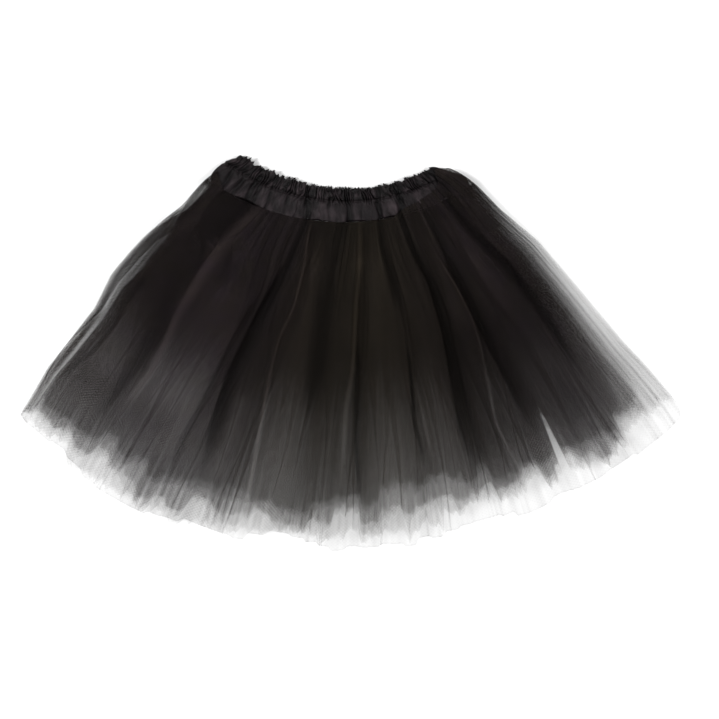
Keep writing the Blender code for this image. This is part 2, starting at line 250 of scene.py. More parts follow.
# the net's colour where it looks brown and where it looks purple
NET_COLOR = (0.0098, 0.0077, 0.0052)
NET_PURPLE = (0.0108, 0.0078, 0.009)
# how much lighter its colour is on a crest (a painted highlight, and darker in a valley as painted shade),
# near the hem, and on the edge that lies over the band
CREASE_PAINTED_LIGHT = 1.4
LOW_GLOW = 0.8
COVER_GLOW = 0.3
# how purple the net is, by place
NET_PURPLES = (
    (0, 0.6), (0.05, 0.7), (0.16, 1), (0.24, 0.8), (0.31, 0.5), (0.37, 0.25), (0.45, 0.1), (0.57, 0.1),
    (0.66, 0.3), (0.75, 0.5), (0.88, 0.9), (1, 0.6),
)
# how far fine specks vary the density in the middle and at the sides
NET_GRAIN = 0.12
SIDE_GRAIN = 0.8
# the net's cells: twice the distance between holes across and down, and how far they vary the density
NET_CELL = (4.4, 3.6)
NET_CONTRAST = 0.26
# main folds that all fronts share, by place on the hem and strength, and minor ones
MAIN_FOLDS = (
    (0.106, 1), (0.22, 0.8), (0.252, 1.2), (0.408, 1), (0.5, 0.9), (0.612, 0.8), (0.692, 1.2), (0.79, 1.1),
    (0.922, 1),
)
MINOR_FOLDS = (0.045, 0.158, 0.305, 0.345, 0.455, 0.56, 0.655, 0.75, 0.862, 0.965)
# how many main and minor folds the back has, and how many fine ones go round the tube
BACK_MAINS = 10
BACK_MINORS = 21
FINE_FOLDS = 115
# how far down the fine gathers reach
GATHER_REACH = 0.28
# how strong the minor folds and the groups of fine ones are beside the main folds
MINOR_SHARE = 0.55
PACKET_SHARE = 0.9
# how far the folds wander on their way down, as a part of the cloth's run, and how evenly
WANDER = 0.003
WANDER_REACH = 95
# how far the folds lean to one side, as a share of their height, and how evenly
LEAN = 0.65
LEAN_REACH = 70
# drift along and above the cloth that is slower than this is taken out
ALONG_REACH = 130
UP_REACH = 60
# the steepest that the cloth may swing, in radians, and the steps of the search for it
MOST_SWING = 2.5
SWING_STEPS = 28


def mix(low, high, share):
    return low + (high - low) * share


def ease(low, high, value):
    """0 at low and 1 at high, eased at both ends; low may be the larger."""
    share = np.clip((value - low) / (high - low), 0, 1)
    return share * share * (3 - 2 * share)


def arc_xy(arc, place):
    x, y, radius, left, right = arc
    angle = np.radians(mix(left, right, place))
    return x + radius * np.sin(angle), y - radius * np.cos(angle)


def by(table, column, value):
    """A column of a table read off at a value of its first column."""
    rows = np.array(table, float)
    return np.interp(value, rows[:, 0], rows[:, column])


def stepped(table, column, value):
    """As by, but level near each row, with a short step half way to the next."""
    rows = np.array(table, float)
    number = np.interp(value, rows[:, 0], np.arange(len(rows)))
    row = np.minimum(number.astype(int), len(rows) - 2)
    share = ease(0.5 - HEM_STEP / 2, 0.5 + HEM_STEP / 2, number - row)
    return mix(rows[row, column], rows[row + 1, column], share)


def line_ends(hem_place):
    """The seam and hem ends of the straight line that runs down to a place on the hem."""
    return arc_xy(SEAM, by(FOLDS, 1, hem_place)), arc_xy(HEM, hem_place)


def line_length(hem_place):
    (x0, y0), (x1, y1) = line_ends(hem_place)
    return np.hypot(x1 - x0, y1 - y0)


def fan_xy(hem_place, down):
    """The point of the fan at a place across and a way down, with the sides bowed out."""
    (x0, y0), (x1, y1) = line_ends(hem_place)
    run = np.hypot(x1 - x0, y1 - y0)
    bow = mix(BOW_LEFT, BOW_RIGHT, hem_place) * 4 * down * (1 - down)
    bow = bow - by(BULGES, 1, down) * (1 - ease(0, EDGE_REACH, hem_place))
    bow = bow + by(BULGES, 2, down) * ease(1 - EDGE_REACH, 1, hem_place)
    x = mix(x0, x1, down) + (y0 - y1) / run * bow
    y = mix(y0, y1, down) + (x1 - x0) / run * bow
    return x, y


def row_width(down):
    """Length of the fan's row at each way down."""
    place = np.linspace(0, 1, 200)
    x, y = fan_xy(place, np.asarray(down)[:, None])
    return np.hypot(np.diff(x, axis=1), np.diff(y, axis=1)).sum(axis=1)


def smoothed(values, sigma):
    """A round of samples blurred along its last axis, by sigma samples."""
    count = values.shape[-1]
    frequency = np.fft.rfftfreq(count)
    kernel = np.exp(-2 * (np.pi * frequency * sigma) ** 2)
    return np.fft.irfft(np.fft.rfft(values, axis=-1) * kernel, n=count, axis=-1)


def round_noise(rng, reach):
    """Even noise round the tube, blurred by so many millimetres, with a spread of 1."""
    noise = smoothed(rng.normal(size=COLUMNS), reach / STEP)
    return noise / noise.std()


def wave_through(places, samples):
    """A wave that is -1 at each place and 1 half way between them."""
    turns = np.interp(samples, places, np.arange(len(places)))
    return -np.cos(2 * np.pi * turns)


def fold_wave(places, strengths, samples):
    """The wave of one set of folds, closed round the tube."""
    padded = np.concatenate([[places[-1] - 1], places, [places[0] + 1]])
    strength = np.interp(samples, padded, np.pad(strengths, 1, mode="wrap"))
    return wave_through(padded, samples) * strength


def uneven_places(rng, count, spread):
    gaps = rng.uniform(1 - spread, 1 + spread, count + 1)
    return np.cumsum(gaps)[:-1] / gaps.sum()


def crease_relief(place, way):
    """Height in millimetres and paleness of the front's creases."""
    ways = np.linspace(0, 1, 50)
    width = np.interp(way, ways, row_width(ways))
    height = np.zeros(place.shape)
    pale = np.zeros(place.shape)
    for tone, lift, left, right, path in CREASES:
        path_ways, path_places = zip(*path)
        share = (way - path_ways[0]) / (path_ways[-1] - path_ways[0])
        away = (place - np.interp(way, path_ways, path_places)) * width
        top = np.where(away < 0, left[0], right[0])
        low = np.where(away < 0, left[1], right[1])
        half = mix(top, low, np.clip(share, 0, 1))
        amount = np.exp(-np.abs(away / half) ** 2.3)
        amount = amount * ease(-0.1, 0.05, share) * (1 - ease(0.8, 1.12, share))
        height += lift * amount
        pale += tone * amount
    return height, pale


def line_values(place):
    """The fine lines along the folds, across the fan, with a spread of about 1."""
    rng = np.random.default_rng(LINE_SEED)
    count = int(HEM_RUN / LINE_PITCH)
    return np.interp(place, np.linspace(0, 1, count), rng.normal(size=count))


def side_share(place, width):
    """How near a point is to the fan's two sides: 1 at them and 0 in the middle."""
    return ease(*SIDE_LEFT, place * width) + ease(*SIDE_RIGHT, (1 - place) * width)


def shared_lines(place, way, width):
    """The fine lines as a factor of the density."""
    depth = ease(0.25, 0.8, way) * LINE_DEPTH + ease(0.8, 0.96, way) * HEM_LINE_DEPTH
    depth = depth + side_share(place, width) * (SIDE_LINE_DEPTH - LINE_DEPTH)
    return np.exp(depth * line_values(place))


def inner_edges(from_left, from_right, way):
    """How a net under the outer one thins out along its sides, as a factor of the density."""
    start = mix(LEFT_RIM, 1, ease(-1, 4, from_left))
    return start * mix(RIGHT_RIM, 1, ease(-1, 0.6 * by(EDGE_FADES, 2, way), from_right))


def outer_edges(from_left, from_right, way):
    """As inner_edges, for the outer net."""
    centre, half, missing = (by(EDGE_GAPS, column, way) for column in (1, 2, 3))
    gap = missing * np.exp(-((from_left - centre) / half) ** 2)
    strip = mix(STRIP_HIGH, STRIP_LOW, ease(0.45, 0.7, way))
    strip = strip * np.exp(-((from_left - STRIP_PLACE) / STRIP_HALF) ** 2)
    start = mix(LEFT_RIM, 1, ease(0, by(EDGE_FADES, 1, way), from_left)) + strip
    end = mix(by(EDGE_LEASTS, 1, way), 1, ease(0, by(EDGE_FADES, 2, way), from_right))
    return start * (1 - gap) * end


def evened(place, thick, runs):
    """Thins the net where more of its folds than on average lie over each other, run by run."""
    step = np.abs(np.diff(place, axis=1, append=place[:, :1]))
    cells = np.clip((place * EVENING_CELLS).astype(int), 0, EVENING_CELLS - 1)
    centres = np.arange(EVENING_CELLS) + 0.5
    factor = np.ones(place.shape)
    for run in runs:
        for row in range(len(place)):
            cover = np.bincount(cells[row, run], step[row, run] * EVENING_CELLS, EVENING_CELLS)
            cover = np.convolve(np.pad(cover, 1, mode="edge"), (0.25, 0.5, 0.25), mode="valid")
            average = cover[cover > LEAST_COVER].mean()
            share = np.interp(place[row, run] * EVENING_CELLS, centres, cover)
            factor[row, run] = (average / np.maximum(share, LEAST_COVER)) ** EVENING
    return thick * np.clip(factor, *EVENING_LIMITS)


def solve_swing(wave, ratio):
    """The largest angle of the cloth, row by row, that gathers it to the row's width."""
    low = np.zeros(len(ratio))
    high = np.full(len(ratio), MOST_SWING)
    for _ in range(SWING_STEPS):
        middle = (low + high) / 2
        mean = np.cos(middle[:, None] * wave).mean(axis=1)
        too_flat = mean > 1 / ratio
        low = np.where(too_flat, middle, low)
        high = np.where(too_flat, high, middle)
    return (low + high) / 2


def packet_waves(rng, at, down):
    """The groups of fine folds near the hem, on the front and the back."""
    wave = 0
    for place, reach, gap, strength in PACKETS:
        for centre in (place / 2, 1 - place / 2):
            away = at - centre - rng.uniform(-0.003, 0.003)
            packet = np.cos(2 * np.pi * away / gap + 2 * np.sin(60 * away))
            grows = ease(0.72 + rng.uniform(-0.1, 0.15), 1, down)
            wave = wave + PACKET_SHARE * strength * grows * np.exp(-(away / reach * 2) ** 2) * packet
    return wave


def fold_field(rng, samples, down):
    """The folds of a net tube as waves round it, row by row: fine at the seam, broad below."""
    wander = round_noise(rng, WANDER_REACH) * down + round_noise(rng, WANDER_REACH) * np.sin(5 * down)
    at = samples + WANDER * wander
    front_places, front_strengths = np.array(MAIN_FOLDS).T
    main_front = front_places / 2
    main_back = 1 - uneven_places(rng, BACK_MAINS, 0.4)[::-1] / 2
    strengths = np.concatenate([front_strengths, rng.uniform(0.9, 1.4, BACK_MAINS)])
    main = fold_wave(np.concatenate([main_front, main_back]), strengths, at)
    minor_front = (np.array(MINOR_FOLDS) + rng.uniform(-0.02, 0.02, len(MINOR_FOLDS))) / 2
    minor_back = 1 - uneven_places(rng, BACK_MINORS, 0.5)[::-1] / 2
    minor_places = np.sort(np.concatenate([minor_front, main_front, minor_back]))
    minor = fold_wave(minor_places, rng.uniform(0.3, 1, len(minor_places)), at)
    fine = wave_through(np.concatenate([[0], uneven_places(rng, FINE_FOLDS, 0.4), [1]]), at)
    wave = np.exp(-(down / GATHER_REACH) ** 2) * fine
    wave = wave + mix(0.3, 1, ease(0, 0.4, down)) * main
    wave = wave + MINOR_SHARE * ease(0.2, 0.7, down) * minor
    wave = wave + packet_waves(rng, at, down)
    return wave / np.sqrt((wave ** 2).mean(axis=1, keepdims=True)) * math.sqrt(2)


def blocks(rng):
    """Steps round the tube, each block of cloth at its own height in millimetres."""
    edges = uneven_places(rng, HEM_BLOCKS, 0.8)
    heights = rng.normal(size=HEM_BLOCKS + 1) * HEM_BLOCK_SPREAD
    return smoothed(heights[np.searchsorted(edges, (np.arange(COLUMNS) + 0.5) / COLUMNS)], 0.7)


def levelled(steps, samples, reach):
    """The sum of the steps round the tube, closed, without what changes more slowly than the reach."""
    total = np.cumsum(steps, axis=1) * STEP
    total = total - total[:, -1:] * samples
    return total - smoothed(total, reach / STEP)


def front_share(samples):
    """1 on the tube's front and 0 on its back, changing over the side folds."""
    turn = SIDE_TURN / CUT_WIDTH
    front = ease(-turn, turn, samples) * (1 - ease(0.5 - turn, 0.5 + turn, samples))
    return front + ease(1 - turn, 1 + turn, samples)


def lay_tube(rng, tube):
    """Lays a net tube across the fan, gathered to the width of each row."""
    samples = tube.samples = (np.arange(COLUMNS) + 0.5) / COLUMNS
    down = tube.down = 1 - (1 - np.linspace(0, 1, ROWS + 1)[:, None]) ** ROW_CROWDING
    width = tube.width = row_width(down[:, 0])[:, None]
    wave = fold_field(rng, samples, down)
    swing = solve_swing(wave, CUT_WIDTH / 2 / width[:, 0])[:, None] * wave
    along = levelled(np.cos(swing), samples, ALONG_REACH)
    tube.up = levelled(np.sin(swing), samples, UP_REACH)
    slant = LEAN * np.tanh(1.2 * round_noise(rng, LEAN_REACH))
    slant = slant * mix(2, 0.9, ease(0.15, 0.7, down))
    tube.is_front = front_share(samples)
    tube.base_place = np.where(samples < 0.5, 2 * samples, 2 * (1 - samples))
    left = tube.left_inset * by(INSETS, 1, down) / width
    right = 1 - tube.right_inset * by(INSETS, 2, down) / width
    shift = (2 * tube.is_front - 1) * (along + slant * tube.up) / width
    place = left + np.abs(mix(left, right, tube.base_place) + shift - left)
    place = tube.place = right - np.abs(right - place)
    tube.from_left, tube.from_right = (place - left) * width, (right - place) * width


def hem_heights(rng, tube):
    """How far a tube's hem ends above the hem arc."""
    at = tube.place[-1]
    front, back = (stepped(HEMS, HEM_COLUMNS.index(name), at) for name in (tube.front_hem, tube.back_hem))
    fingers = np.zeros(COLUMNS)
    for place, length, half in FINGERS:
        fingers += length * np.exp(-np.abs((at - place) * HEM_RUN / half) ** 1.5)
    ragged = 0.5 * blocks(rng) + 0.2 * round_noise(rng, 1.5) + 0.8 * round_noise(rng, 9) - HEM_FADE
    scallops = 1.5 * round_noise(rng, 35) + 0.6 * round_noise(rng, 11)
    front = front - tube.fingers * fingers + tube.ragged * ragged + HEM_COMB * line_values(at)
    back = back + tube.back_short + (scallops if tube.outer else ragged)
    return np.maximum(mix(back, front, tube.is_front), -HEM_DROP)


def cut_tube(rng, tube):
    """Sets how far down each point lies, from the seam, or over the band, to the hem."""
    tube.length = line_length(tube.base_place)
    tube.end = 1 - hem_heights(rng, tube) / tube.length
    cover = by(COVERS, 1, by(FOLDS, 1, tube.place[0])) * tube.is_front * tube.outer
    tube.way = tube.down * tube.end + (1 - tube.down) * (SEAM_GAP - cover) / tube.length
    tube.over_band = ease(0.012, -0.012, tube.way)
    tube.relief, tube.pale = crease_relief(tube.place, tube.way)


def tube_heights(tube):
    """Heights of the net: its level in the stack, the front's creases and lift, and the gathers."""
    back = mix(tube.seam_back, tube.hem_back, tube.way)
    front = mix(tube.seam_front, tube.hem_front, tube.way)
    inside = ease(0, SIDE_SLOPE, tube.base_place) * ease(0, SIDE_SLOPE, 1 - tube.base_place)
    edge = back + SIDE_HEIGHT
    front = mix(edge, front, np.maximum(inside, 1 - ease(0, 0.5, tube.way)))
    grown = ease(0, 0.3, tube.way)
    relief = np.where(tube.relief < 0, tube.relief * mix(0.3, 1, grown), tube.relief)
    relief = tube.creased * (mix(relief, BAND_LIFT, tube.over_band) + FRONT_LIFT * grown)
    flatness = np.where(tube.samples < 0.5, FRONT_FLATNESS, BACK_FLATNESS) * mix(0.8, 1.4, tube.down)
    return np.maximum(back + (front - back + relief) * tube.is_front + tube.up * flatness, tube.least)


def crease_density(pale, way):
    """What the creases do to the density, as a factor: crests thin it and valleys thicken it."""
    thinning = np.where(pale > 0, CREST_THINNING * np.minimum(pale, PALEST_CREST), VALLEY_THICKENING * pale)
    return np.exp(-thinning * ease(0.2, 0.6, way))


def hem_fray(rng, tube):
    """How the net thins out over its last millimetres, as a factor of the density."""
    frayed = tube.is_front if tube.outer else np.ones(COLUMNS)
    fade = 1 + frayed * HEM_FADE * np.maximum(1 + 0.6 * round_noise(rng, 2.5), 0.1)
    from_hem = (tube.end - tube.way) * tube.length
    return 1 - frayed * (1 - ease(-1, fade, from_hem))


def tube_density(rng, tube):
    """How much of the view the net blocks at each point."""
    way, front = tube.way, tube.samples < 0.5
    thick = by(NET_DENSITY, 1, way) * crease_density(tube.pale, way)
    thick = evened(tube.place, np.maximum(thick, BAND_DENSITY * tube.over_band), (front, ~front))
    thick = thick * shared_lines(tube.place, way, tube.width)
    edges = outer_edges if tube.outer else inner_edges
    thick = thick * edges(tube.from_left, tube.from_right, way)
    if tube.outer:
        thick = thick * (1 - BACK_THINNING * ease(0.72, 0.95, way) * (1 - tube.is_front))
        thick[-1] *= CUT_EDGE
    thick = thick * hem_fray(rng, tube)
    return np.clip(thick, 0, mix(MOST_DENSITY, BAND_DENSITY, tube.over_band))


def net_tube(columns):
    """One net tube, with its points, its depth down the cloth and the values its material takes."""
    tube = SimpleNamespace(**dict(zip(LAYER_COLUMNS, columns)))
    rng = np.random.default_rng(tube.seed)
    lay_tube(rng, tube)
    cut_tube(rng, tube)
    tube.points = (*fan_xy(tube.place, tube.way), tube_heights(tube))
    tube.depth = tube.way * tube.length
    # painted light: the creases' paleness goes into the net's colour as painted highlights on crests and
    # painted shade in valleys
    glow = tube.pale - 0.05 * tube.over_band + COVER_GLOW * ease(-0.05, -0.085, tube.way)
    tube.values = {
        "tone": np.exp(CREASE_PAINTED_LIGHT * glow) * (1 + LOW_GLOW * ease(0.4, 0.8, tube.way)),
        "thick": tube_density(rng, tube),
        "purple": by(NET_PURPLES, 1, tube.place),
        "grain": mix(NET_GRAIN, SIDE_GRAIN, side_share(tube.place, tube.width)),
    }
    return tube


def set_uv(mesh, u, v, row, column):
    """The cloth's own coordinates at each corner; u has one column more than the mesh, for its last face."""
    after = (column + 1) % v.shape[1]
    here, ahead = u[column + 0 * row], u[column + 1 + 0 * row]
    corner_u = np.stack([here, here, ahead, ahead], axis=-1)
    corner_v = np.stack([v[row, column], v[row + 1, column], v[row + 1, after], v[row, after]], axis=-1)
    layer = mesh.uv_layers.new(name="cloth")
    layer.data.foreach_set("uv", np.stack([corner_u, corner_v], axis=-1).astype(np.float32).ravel())


def add_object(name, data):
    added = bpy.data.objects.new(name, data)
    bpy.context.scene.collection.objects.link(added)
    return added


def grid_mesh(name, material, points, uv, vertex_values, closed_rows=False):
    """A sheet from rows of points, closed round its columns, and its rows too if asked."""
    points = np.stack(points, axis=-1) * MM
    rows, columns = points.shape[:2]
    row = np.arange(rows if closed_rows else rows - 1)[:, None]
    column = np.arange(columns)[None, :]
    start, start_below = row * columns, (row + 1) % rows * columns
    after = (column + 1) % columns
    faces = np.stack([start + column, start_below + column, start_below + after, start + after], axis=-1)
    mesh = bpy.data.meshes.new(name)
    mesh.vertices.add(rows * columns)
    mesh.vertices.foreach_set("co", points.astype(np.float32).ravel())
    mesh.loops.add(faces.size)
    mesh.loops.foreach_set("vertex_index", faces.astype(np.int32).ravel())
    mesh.polygons.add(faces.size // 4)
    mesh.polygons.foreach_set("loop_start", np.arange(0, faces.size, 4, dtype=np.int32))
    mesh.update(calc_edges=True)
    mesh.validate()
    mesh.shade_smooth()
    set_uv(mesh, *uv, row, column)
    for value_name, values in vertex_values.items():
        attribute = mesh.attributes.new(value_name, "FLOAT", "POINT")
        values = np.broadcast_to(values, (rows, columns))
        attribute.data.foreach_set("value", values.astype(np.float32).ravel())
    mesh.materials.append(material)
    return add_object(name, mesh)


# ---------------- materials
# how fine the materials' noises are, across, down and through the cloth
NET_TINTS = (11, 9, 1)
NET_CLOUDS = (14, 6, 1)
NET_FLECKS = (60, 45, 1)
NET_SPECKS = (360, 360, 1)
SATIN_WEAVE = (900, 2600, 1)
SATIN_SHINE = (90, 60, 1)
SATIN_CRUMPLE = (160, 110, 1)
LINING_WEAVE = (1100, 2200, 1)
LINING_CLOUDS = (25, 40, 1)
LINING_SHINE = (60, 40, 1)
SATIN_COLOR = (0.0108, 0.008, 0.009)
LINING_COLOR = (0.014, 0.0125, 0.014)
# relief heights in metres
SATIN_RELIEF = 0.0003
LINING_RELIEF = 0.0002
# stitches, in metres: distance between them, half the gap as a part of it, how far down the two rows run,
# half their thickness, and how much paler the thread is
STITCH_LENGTH = 0.0032
STITCH_GAP = 0.14
STITCH_DEPTHS = (0.0141, 0.0352)
STITCH_HALF = 0.0003
STITCH_GLOW = 0.7


def feed(made, node, inputs):
    """Sets a node's inputs to numbers and colours, or links them to other nodes' outputs."""
    for name, value in inputs.items():
        if isinstance(value, bpy.types.NodeSocket):
            made.node_tree.links.new(value, node.inputs[name])
        else:
            node.inputs[name].default_value = value


def principled(name, color, roughness, specular):
    made = bpy.data.materials.new(name)
    made.use_nodes = True
    shader = made.node_tree.nodes["Principled BSDF"]
    feed(made, shader, {"Base Color": (*color, 1), "Roughness": roughness, "Specular IOR Level": specular})
    return made, shader


def new_node(made, kind, inputs, **settings):
    """Adds a node and returns its outputs."""
    node = made.node_tree.nodes.new(kind)
    for key, value in settings.items():
        setattr(node, key, value)
    feed(made, node, inputs)
    return node.outputs


def math_node(made, operation, *values):
    return new_node(made, "ShaderNodeMath", dict(enumerate(values)), operation=operation)["Value"]


def product_of(made, *values):
    result = values[0]
    for value in values[1:]:
        result = math_node(made, "MULTIPLY", result, value)
    return result


def scaled(made, color, factor):
    return new_node(made, "ShaderNodeVectorMath", {0: color, "Scale": factor}, operation="SCALE")["Vector"]


def noise_factor(made, vector, scale, low, high, detail=3):
    """A stretched noise that runs from low to high."""
    stretch = new_node(made, "ShaderNodeMapping", {"Vector": vector, "Scale": scale})
    noise = new_node(made, "ShaderNodeTexNoise", {"Vector": stretch["Vector"], "Detail": detail})
    limits = {"From Min": 0.2, "From Max": 0.8, "To Min": low, "To Max": high}
    return new_node(made, "ShaderNodeMapRange", {"Value": noise["Fac"], **limits})["Result"]


def vertex_value(made, name):
    return new_node(made, "ShaderNodeAttribute", {}, attribute_name=name)["Fac"]


def cloth_uv(made):
    return new_node(made, "ShaderNodeUVMap", {}, uv_map="cloth")["UV"]


def bumped(made, height, distance):
    """The normal of a relief in which a height of 1 stands for so many metres."""
    return new_node(made, "ShaderNodeBump", {"Height": height, "Distance": distance})["Normal"]


def lattice_factor(made, cloth):
    """The cells of the net, rows of holes set half a cell across from each other."""
    axes = new_node(made, "ShaderNodeSeparateXYZ", {"Vector": cloth})
    waves = []
    for axis, cell in zip(("X", "Y"), NET_CELL):
        turns = math_node(made, "MULTIPLY", axes[axis], 2 * math.pi / (cell * MM))
        waves.append(math_node(made, "SINE", turns))
    return math_node(made, "MULTIPLY_ADD", product_of(made, *waves), NET_CONTRAST, 1)


def stitch_factor(made, cloth):
    """1 on the cloth and more on the stitches along the gathers and above the seam."""
    axes = new_node(made, "ShaderNodeSeparateXYZ", {"Vector": cloth})
    dash = math_node(made, "PINGPONG", axes["X"], STITCH_LENGTH / 2)
    on = math_node(made, "GREATER_THAN", dash, STITCH_LENGTH * STITCH_GAP)
    rows = [math_node(made, "COMPARE", axes["Y"], -depth, STITCH_HALF) for depth in STITCH_DEPTHS]
    stitched = product_of(made, math_node(made, "ADD", *rows), on)
    return math_node(made, "MULTIPLY_ADD", stitched, STITCH_GLOW, 1)


def tulle_material():
    """Black net: as dense, pale and purple as the mesh says, its paleness a painted highlight on crests and
    painted shade in valleys, with clouds, specks and its cells.
    """
    made, shader = principled("black_net", NET_COLOR, 0.7, 0.05)
    cloth = cloth_uv(made)
    purple = product_of(made, vertex_value(made, "purple"), noise_factor(made, cloth, NET_TINTS, 0.3, 1.4))
    tint = new_node(made, "ShaderNodeMix",
                    {"A": (*NET_COLOR, 1), "B": (*NET_PURPLE, 1), "Factor": purple}, data_type="RGBA")
    clouds = noise_factor(made, cloth, NET_CLOUDS, 0.75, 1.25)
    flecks = noise_factor(made, cloth, NET_FLECKS, 0.8, 1.2, 1)
    tone = product_of(made, vertex_value(made, "tone"), clouds, flecks)
    plane = new_node(made, "ShaderNodeTexCoord", {})["Object"]
    specks = noise_factor(made, plane, NET_SPECKS, -1.5, 1.5, 0)
    grainy = math_node(made, "MULTIPLY_ADD", vertex_value(made, "grain"), specks, 1)
    alpha = product_of(made, vertex_value(made, "thick"), grainy, lattice_factor(made, cloth))
    feed(made, shader, {"Base Color": scaled(made, tint["Result"], tone), "Alpha": alpha})
    return made


def satin_material():
    """Black satin: soft shine, a fine weave, and two rows of stitching."""
    made, shader = principled("black_satin", SATIN_COLOR, 0.46, 0.1)
    cloth = cloth_uv(made)
    weave = noise_factor(made, cloth, SATIN_WEAVE, 0.85, 1.15, 1)
    stitches = stitch_factor(made, cloth)
    # the mesh's tone is painted shade in the crimps, folds and covered end, and painted highlights on the
    # crumples
    tone = product_of(made, vertex_value(made, "tone"), weave, stitches)
    crumple = noise_factor(made, cloth, SATIN_CRUMPLE, 0.6, 1.4)
    feed(made, shader, {
        "Base Color": scaled(made, SATIN_COLOR, tone),
        "Roughness": noise_factor(made, cloth, SATIN_SHINE, 0.36, 0.56),
        "Normal": bumped(made, product_of(made, weave, stitches, crumple), SATIN_RELIEF),
    })
    return made


def lining_material():
    """Thin black satin: a fine weave in its colour and relief, and uneven shine."""
    made, shader = principled("lining_satin", LINING_COLOR, 0.5, 0.5)
    cloth = cloth_uv(made)
    weave = noise_factor(made, cloth, LINING_WEAVE, 0.8, 1.2, 1)
    clouds = noise_factor(made, cloth, LINING_CLOUDS, 0.8, 1.2)
    feed(made, shader, {
        "Base Color": scaled(made, LINING_COLOR, product_of(made, weave, clouds)),
        "Roughness": noise_factor(made, cloth, LINING_SHINE, 0.4, 0.6),
        "Normal": bumped(made, weave, LINING_RELIEF),
    })
    return made


def add_net():
    net = tulle_material()
    for columns in LAYERS:
        tube = net_tube(columns)
        u = np.append(tube.samples, 1 + tube.samples[0]) * CUT_WIDTH * MM
        piece = grid_mesh(f"net_{tube.name}", net, tube.points, (u, -tube.depth * MM), tube.values)
        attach(piece, "root")
        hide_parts(f"tulle_{tube.name}")


# ---------------- waistband
BAND_SEED = 5
BAND_COLUMNS = 640
BAND_END_COLUMNS = 10
# the band's length and height, how high its middle lies, half the slit between its inner faces, and how far
# its faces lie from the middle
BAND_RUN = 290
BAND_HEIGHT = 38
BAND_MIDDLE = 4.9
BAND_SLIT = 0.15
FACE_HEIGHT = 4.2
LEAST_FACE = 0.6
BACK_HEIGHT = 4.6
LEAST_HEIGHT = 0.15
# how far in from the seam's ends the band ends, as a part of its run
BAND_INSET = 0.018
# rows of the profile over the top edge and under the lower edge, as place down and share of height, and how
# many rows the face and the inside have
OVER_TOP = ((0.05, 0), (0.012, 0), (-0.012, 0.25), (-0.018, 0.55), (-0.004, 0.85))
UNDER_EDGE = ((1, 0.8), (1.003, 0.4), (0.99, 0))
FACE_ROWS = 45
INSIDE_ROWS = 9
# how far down the stitching that gathers the band runs
GATHER_LINE = 0.37
# how many crimps and soft folds the band has, and how many places set their size
CRIMPS = 58
CRIMP_SIZES = 36
SOFT_FOLDS = 22
SOFT_SIZES = 19
# deep folds of the satin: place at the top and the seam, depth and half width
BAND_FOLDS = (
    (0.02, 0.045, 1.2, 2.4), (0.075, 0.098, 2, 2.6), (0.13, 0.15, 3, 3.4), (0.155, 0.172, 1.6, 1.8),
    (0.205, 0.225, 1.2, 1.8), (0.28, 0.3, 1, 1.8), (0.361, 0.388, 3.8, 3.4), (0.455, 0.47, 0.9, 1.8),
    (0.545, 0.541, 3.8, 4), (0.605, 0.59, 0.8, 1.6), (0.692, 0.652, 3.4, 3), (0.782, 0.74, 3.8, 3.8),
    (0.835, 0.8, 0.8, 1.8), (0.955, 0.925, 2, 2.6),
)
DEEPEST_FOLD = 3.8
# how far the band's left and right ends bulge
BAND_BULGES = (8, 9.5)
# how far the satin's lower edge hangs past the seam line, by place
BAND_DIPS = (
    (0, 0), (0.09, 0.5), (0.15, -2), (0.22, 1), (0.3, 2), (0.38, 0.5), (0.42, -1), (0.51, 1.8), (0.54, -1.5),
    (0.6, -0.5), (0.64, 0.8), (0.68, -1.5), (0.72, -1), (0.8, 0), (1, 0),
)
# where the outer net comes to cover the band, and how much flatter and lower the satin lies under it; there
# the satin's colour also gets painted shade
COVERED_FROM = (0.88, 0.95)
COVERED_FLATNESS = 0.6
COVERED_DROP = 1.4


def band_profile():
    """Rows from the slit over the top edge, down the face and back up inside: place down, share of height."""
    face = [(0.015 + 0.975 * share, 1) for share in np.linspace(0, 1, FACE_ROWS)]
    inside = [(place, 0) for place in np.linspace(0.99, 0.05, INSIDE_ROWS + 2)[1:-1]]
    rows = np.array([*OVER_TOP, *face, *UNDER_EDGE, *inside])
    return rows[:, :1], rows[:, 1:]


def band_round():
    """Once round the band: place across, angle from front to back, and which end the point turns at."""
    turn = np.linspace(0, math.pi, BAND_END_COLUMNS + 2)[1:-1]
    run = np.linspace(0, 1, BAND_COLUMNS)
    ends = np.ones(BAND_END_COLUMNS)
    flat = np.zeros(BAND_COLUMNS)
    place = np.concatenate([run, ends, run[::-1], 0 * ends])
    angle = np.concatenate([flat, turn, flat + math.pi, turn[::-1]])
    return place, angle, np.concatenate([flat, ends, flat, -ends])


def grain(rng, shape, across, down):
    """Even noise on a grid, blurred by so many columns and rows, with a spread of 1."""
    noise = smoothed(rng.normal(size=shape), across)
    noise = smoothed(noise.T, down).T
    return noise / noise.std()


def rounded_crimp(turns):
    """Round ridges with sharp valleys between them, from -1 to 1."""
    return 2 * np.abs(np.cos(np.pi * turns)) ** 0.7 - 1


def ridges(rng, across, count, spread, wander, reach):
    """So many uneven ridges along the band, each wandering by so many of them."""
    places = np.concatenate([[0], uneven_places(rng, count, spread), [1]])
    turns = np.interp(across, places, np.arange(len(places)))
    return rounded_crimp(turns + wander * grain(rng, across.shape, *reach))


def ridge_sizes(rng, across, count, low, high):
    return np.interp(across, np.linspace(0, 1, count), rng.uniform(low, high, count))


def band_across(rng, place, down):
    """Place across the seam of each point of the band, with its ends bulged out."""
    across = mix(BAND_INSET, 1 - BAND_INSET, place)
    across = across + 0.0015 * grain(rng, (len(down), len(place)), 9, 5)
    low = np.clip(down, 0, 1) ** 1.2
    left, right = np.array(BAND_BULGES) / BAND_RUN
    right = right * np.sin(0.85 * np.pi * low) * ease(0.93, 1, place)
    return across + right - left * np.sin(np.pi * low) * ease(0.07, 0, place)


